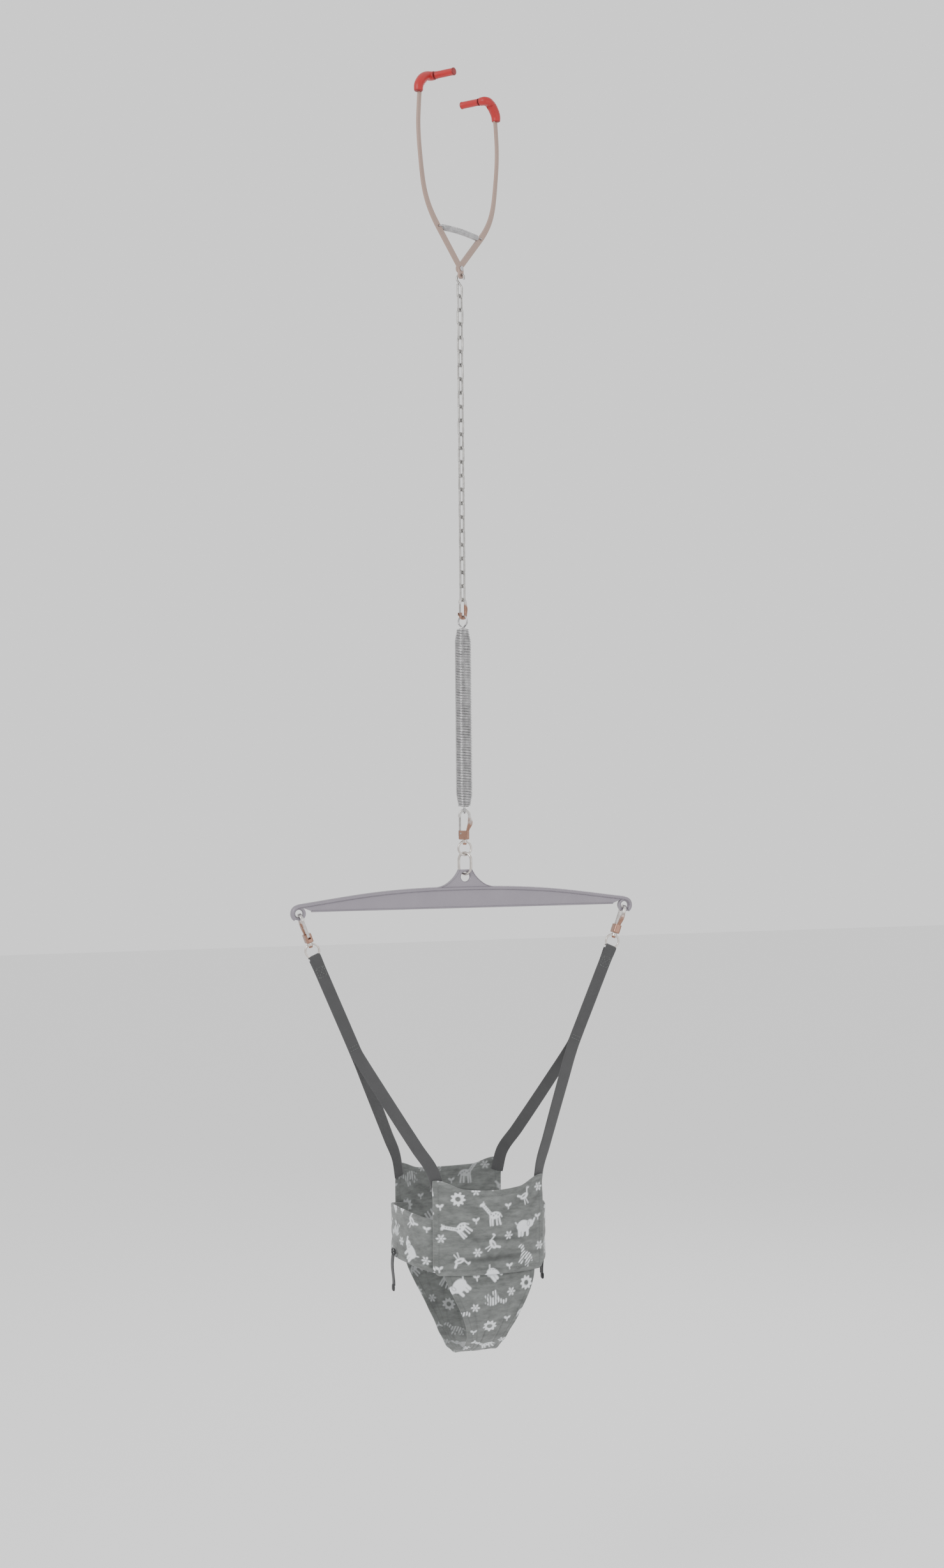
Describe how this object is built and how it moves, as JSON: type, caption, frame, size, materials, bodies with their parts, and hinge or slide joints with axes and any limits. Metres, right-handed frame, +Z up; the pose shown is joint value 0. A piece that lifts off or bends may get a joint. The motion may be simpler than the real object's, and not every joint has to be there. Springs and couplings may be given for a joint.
{
  "type": "activity jumper",
  "caption": "Door-frame baby jumper: sprung two-arm clamp, chain, long coil spring, spreader bar and fabric saddle seat on webbing straps.",
  "frame": {"origin": "on the plumb line, midway between the two clamp feet, at the height of their soles", "axes": "+Z up the plumb line, +X along the spreader bar, -Y towards the seat's front panel"},
  "size_m": [0.4176, 0.17, 1.4572],
  "materials": {
    "arm_enamel": "satin enamel",
    "plain_steel": "plated",
    "grip_rubber": "matt",
    "zinc_wire": "zinc plated",
    "bright_spring": "bright nickel",
    "snap_metal": "antique nickel",
    "gate_metal": "antique nickel",
    "bar_enamel": "satin enamel",
    "webbing": "woven",
    "print_cloth": "woven, printed",
    "buckle_plastic": "matt"
  },
  "bodies": {
    "front_arm": {"front_clamp_arm": "arm_enamel", "front_foot_bar": "plain_steel", "front_rubber_grips": "grip_rubber", "pivot_rivet": "plain_steel", "clamp_spring": "plain_steel"},
    "back_arm": {"back_clamp_arm": "arm_enamel", "back_foot_bar": "plain_steel", "back_rubber_grips": "grip_rubber"},
    "hanger": {"hanger_hook": "zinc_wire"},
    "chain_snap": {"chain_snap_body": "snap_metal"},
    "chain_gate": {"chain_snap_gate": "gate_metal"},
    "spring_head": {"spring_top_loop": "bright_spring", "spring_coil": "bright_spring"},
    "spring_foot": {"spring_bottom_loop": "bright_spring"},
    "centre_snap": {"centre_snap_body": "snap_metal"},
    "centre_gate": {"centre_snap_gate": "gate_metal"},
    "centre_eye": {"centre_swivel_eye": "snap_metal"},
    "link": {"oblong_link": "snap_metal"},
    "bar": {"spreader_bar": "bar_enamel"},
    "harness": {"left_strap_ring": "snap_metal", "right_strap_ring": "snap_metal", "left_front_strap": "webbing", "left_back_strap": "webbing", "right_front_strap": "webbing", "right_back_strap": "webbing", "front_panel": "print_cloth", "back_panel": "print_cloth", "crotch_panel": "print_cloth", "left_wing": "print_cloth", "right_wing": "print_cloth", "left_side_strap": "webbing", "right_side_strap": "webbing", "left_side_buckle": "buckle_plastic", "right_side_buckle": "buckle_plastic"},
    "left_snap": {"left_snap_body": "snap_metal"},
    "left_gate": {"left_snap_gate": "gate_metal"},
    "right_snap": {"right_snap_body": "snap_metal"},
    "right_gate": {"right_snap_gate": "gate_metal"},
    "chain_01": {"chain_link_01": "zinc_wire"},
    "chain_02": {"chain_link_02": "zinc_wire"},
    "chain_03": {"chain_link_03": "zinc_wire"},
    "chain_04": {"chain_link_04": "zinc_wire"},
    "chain_05": {"chain_link_05": "zinc_wire"},
    "chain_06": {"chain_link_06": "zinc_wire"},
    "chain_07": {"chain_link_07": "zinc_wire"},
    "chain_08": {"chain_link_08": "zinc_wire"},
    "chain_09": {"chain_link_09": "zinc_wire"},
    "chain_10": {"chain_link_10": "zinc_wire"},
    "chain_11": {"chain_link_11": "zinc_wire"},
    "chain_12": {"chain_link_12": "zinc_wire"},
    "chain_13": {"chain_link_13": "zinc_wire"},
    "chain_14": {"chain_link_14": "zinc_wire"},
    "chain_15": {"chain_link_15": "zinc_wire"},
    "chain_16": {"chain_link_16": "zinc_wire"},
    "chain_17": {"chain_link_17": "zinc_wire"},
    "chain_18": {"chain_link_18": "zinc_wire"},
    "chain_19": {"chain_link_19": "zinc_wire"},
    "chain_20": {"chain_link_20": "zinc_wire"},
    "chain_21": {"chain_link_21": "zinc_wire"},
    "chain_22": {"chain_link_22": "zinc_wire"}
  },
  "joints": [
    {"name": "clamp_open", "type": "hinge", "parent": "front_arm", "child": "back_arm", "pos_m": [0, 0, -0.2025], "axis": [-0.5736, 0.8192, 0], "range_deg": [-14, 20], "stiffness_Nm_per_rad": 0.6, "springref_deg": -2.29, "deforming": ["clamp_spring"]},
    {"name": "spring_stretch", "type": "slide", "parent": "spring_head", "child": "spring_foot", "axis": [0, 0, -1], "range_m": [0, 0.15], "stiffness_N_per_m": 400, "springref_m": -0.05, "deforming": ["spring_coil"]},
    {"name": "bar_tilt", "type": "hinge", "parent": "link", "child": "bar", "pos_m": [0, 0, -0.8997], "axis": [-0.5736, 0.8192, 0], "range_deg": [-12, 12]},
    {"name": "harness_swing", "type": "hinge", "parent": "bar", "child": "harness", "pos_m": [0, 0, -0.9468], "axis": [1, 0, 0], "range_deg": [-22, 22]},
    {"name": "centre_swivel", "type": "hinge", "parent": "centre_snap", "child": "centre_eye", "pos_m": [0, 0, -0.8621], "axis": [0, 0, 1], "continuous": true},
    {"name": "hook_swing", "type": "hinge", "parent": "front_arm", "child": "hanger", "pos_m": [0, 0, -0.21], "axis": [-0.5736, 0.8192, 0], "range_deg": [-25, 25]},
    {"name": "spring_swing", "type": "hinge", "parent": "chain_snap", "child": "spring_head", "pos_m": [0, 0, -0.6053], "axis": [0.9063, 0.4226, 0], "range_deg": [-25, 25]},
    {"name": "snap_swing", "type": "hinge", "parent": "chain_22", "child": "chain_snap", "pos_m": [0, 0, -0.5853], "axis": [-0.4226, 0.9063, 0], "range_deg": [-30, 30]},
    {"name": "centre_snap_swing", "type": "hinge", "parent": "spring_foot", "child": "centre_snap", "pos_m": [0, 0, -0.82945], "axis": [0.2588, 0.9659, 0], "range_deg": [-25, 25]},
    {"name": "link_swing", "type": "hinge", "parent": "centre_eye", "child": "link", "pos_m": [0, 0, -0.8779], "axis": [0.9962, 0.0872, 0], "range_deg": [-25, 25]},
    {"name": "left_snap_swivel", "type": "hinge", "parent": "harness", "child": "left_snap", "pos_m": [-0.18626, 0, -0.975], "axis": [-0.342, 0, 0.9397], "range_deg": [-8, 8]},
    {"name": "right_snap_swivel", "type": "hinge", "parent": "harness", "child": "right_snap", "pos_m": [0.18626, 0, -0.975], "axis": [0.342, 0, 0.9397], "range_deg": [-8, 8]},
    {"name": "centre_gate_press", "type": "hinge", "parent": "centre_snap", "child": "centre_gate", "pos_m": [-0.00473, 0.00127, -0.8527], "axis": [0.2588, 0.9659, 0], "range_deg": [0, 20], "stiffness_Nm_per_rad": 0.03},
    {"name": "left_gate_press", "type": "hinge", "parent": "left_snap", "child": "left_gate", "pos_m": [-0.18948, -0.0049, -0.96617], "axis": [-0.9397, 0, -0.342], "range_deg": [0, 18], "stiffness_Nm_per_rad": 0.03},
    {"name": "right_gate_press", "type": "hinge", "parent": "right_snap", "child": "right_gate", "pos_m": [0.18948, 0.0049, -0.96617], "axis": [0.9397, 0, -0.342], "range_deg": [0, 18], "stiffness_Nm_per_rad": 0.03},
    {"name": "chain_gate_press", "type": "hinge", "parent": "chain_snap", "child": "chain_gate", "pos_m": [-0.0039, -0.00182, -0.6006], "axis": [-0.4226, 0.9063, 0], "range_deg": [0, 18], "stiffness_Nm_per_rad": 0.01},
    {"name": "link_01_swing", "type": "hinge", "parent": "hanger", "child": "chain_01", "pos_m": [0, 0, -0.2355], "axis": [0.5736, -0.8192, 0], "range_deg": [-30, 30]},
    {"name": "link_02_swing", "type": "hinge", "parent": "chain_01", "child": "chain_02", "pos_m": [0, 0, -0.2514], "axis": [0.8237, 0.5671, 0], "range_deg": [-30, 30]},
    {"name": "link_03_swing", "type": "hinge", "parent": "chain_02", "child": "chain_03", "pos_m": [0, 0, -0.2673], "axis": [-0.5605, 0.8281, 0], "range_deg": [-30, 30]},
    {"name": "link_04_swing", "type": "hinge", "parent": "chain_03", "child": "chain_04", "pos_m": [0, 0, -0.2832], "axis": [-0.8326, -0.5539, 0], "range_deg": [-30, 30]},
    {"name": "link_05_swing", "type": "hinge", "parent": "chain_04", "child": "chain_05", "pos_m": [0, 0, -0.2991], "axis": [0.5473, -0.8369, 0], "range_deg": [-30, 30]},
    {"name": "link_06_swing", "type": "hinge", "parent": "chain_05", "child": "chain_06", "pos_m": [0, 0, -0.315], "axis": [0.8413, 0.5406, 0], "range_deg": [-30, 30]},
    {"name": "link_07_swing", "type": "hinge", "parent": "chain_06", "child": "chain_07", "pos_m": [0, 0, -0.3309], "axis": [-0.534, 0.8455, 0], "range_deg": [-30, 30]},
    {"name": "link_08_swing", "type": "hinge", "parent": "chain_07", "child": "chain_08", "pos_m": [0, 0, -0.3468], "axis": [-0.8497, -0.5272, 0], "range_deg": [-30, 30]},
    {"name": "link_09_swing", "type": "hinge", "parent": "chain_08", "child": "chain_09", "pos_m": [0, 0, -0.3627], "axis": [0.5205, -0.8539, 0], "range_deg": [-30, 30]},
    {"name": "link_10_swing", "type": "hinge", "parent": "chain_09", "child": "chain_10", "pos_m": [0, 0, -0.3786], "axis": [0.858, 0.5137, 0], "range_deg": [-30, 30]},
    {"name": "link_11_swing", "type": "hinge", "parent": "chain_10", "child": "chain_11", "pos_m": [0, 0, -0.3945], "axis": [-0.5069, 0.862, 0], "range_deg": [-30, 30]},
    {"name": "link_12_swing", "type": "hinge", "parent": "chain_11", "child": "chain_12", "pos_m": [0, 0, -0.4104], "axis": [-0.866, -0.5, 0], "range_deg": [-30, 30]},
    {"name": "link_13_swing", "type": "hinge", "parent": "chain_12", "child": "chain_13", "pos_m": [0, 0, -0.4263], "axis": [0.4931, -0.87, 0], "range_deg": [-30, 30]},
    {"name": "link_14_swing", "type": "hinge", "parent": "chain_13", "child": "chain_14", "pos_m": [0, 0, -0.4422], "axis": [0.8738, 0.4862, 0], "range_deg": [-30, 30]},
    {"name": "link_15_swing", "type": "hinge", "parent": "chain_14", "child": "chain_15", "pos_m": [0, 0, -0.4581], "axis": [-0.4792, 0.8777, 0], "range_deg": [-30, 30]},
    {"name": "link_16_swing", "type": "hinge", "parent": "chain_15", "child": "chain_16", "pos_m": [0, 0, -0.474], "axis": [-0.8815, -0.4723, 0], "range_deg": [-30, 30]},
    {"name": "link_17_swing", "type": "hinge", "parent": "chain_16", "child": "chain_17", "pos_m": [0, 0, -0.4899], "axis": [0.4653, -0.8852, 0], "range_deg": [-30, 30]},
    {"name": "link_18_swing", "type": "hinge", "parent": "chain_17", "child": "chain_18", "pos_m": [0, 0, -0.5058], "axis": [0.8888, 0.4582, 0], "range_deg": [-30, 30]},
    {"name": "link_19_swing", "type": "hinge", "parent": "chain_18", "child": "chain_19", "pos_m": [0, 0, -0.5217], "axis": [-0.4512, 0.8924, 0], "range_deg": [-30, 30]},
    {"name": "link_20_swing", "type": "hinge", "parent": "chain_19", "child": "chain_20", "pos_m": [0, 0, -0.5376], "axis": [-0.896, -0.4441, 0], "range_deg": [-30, 30]},
    {"name": "link_21_swing", "type": "hinge", "parent": "chain_20", "child": "chain_21", "pos_m": [0, 0, -0.5535], "axis": [0.4369, -0.8995, 0], "range_deg": [-30, 30]},
    {"name": "link_22_swing", "type": "hinge", "parent": "chain_21", "child": "chain_22", "pos_m": [0, 0, -0.5694], "axis": [0.9029, 0.4298, 0], "range_deg": [-30, 30]}
  ]
}
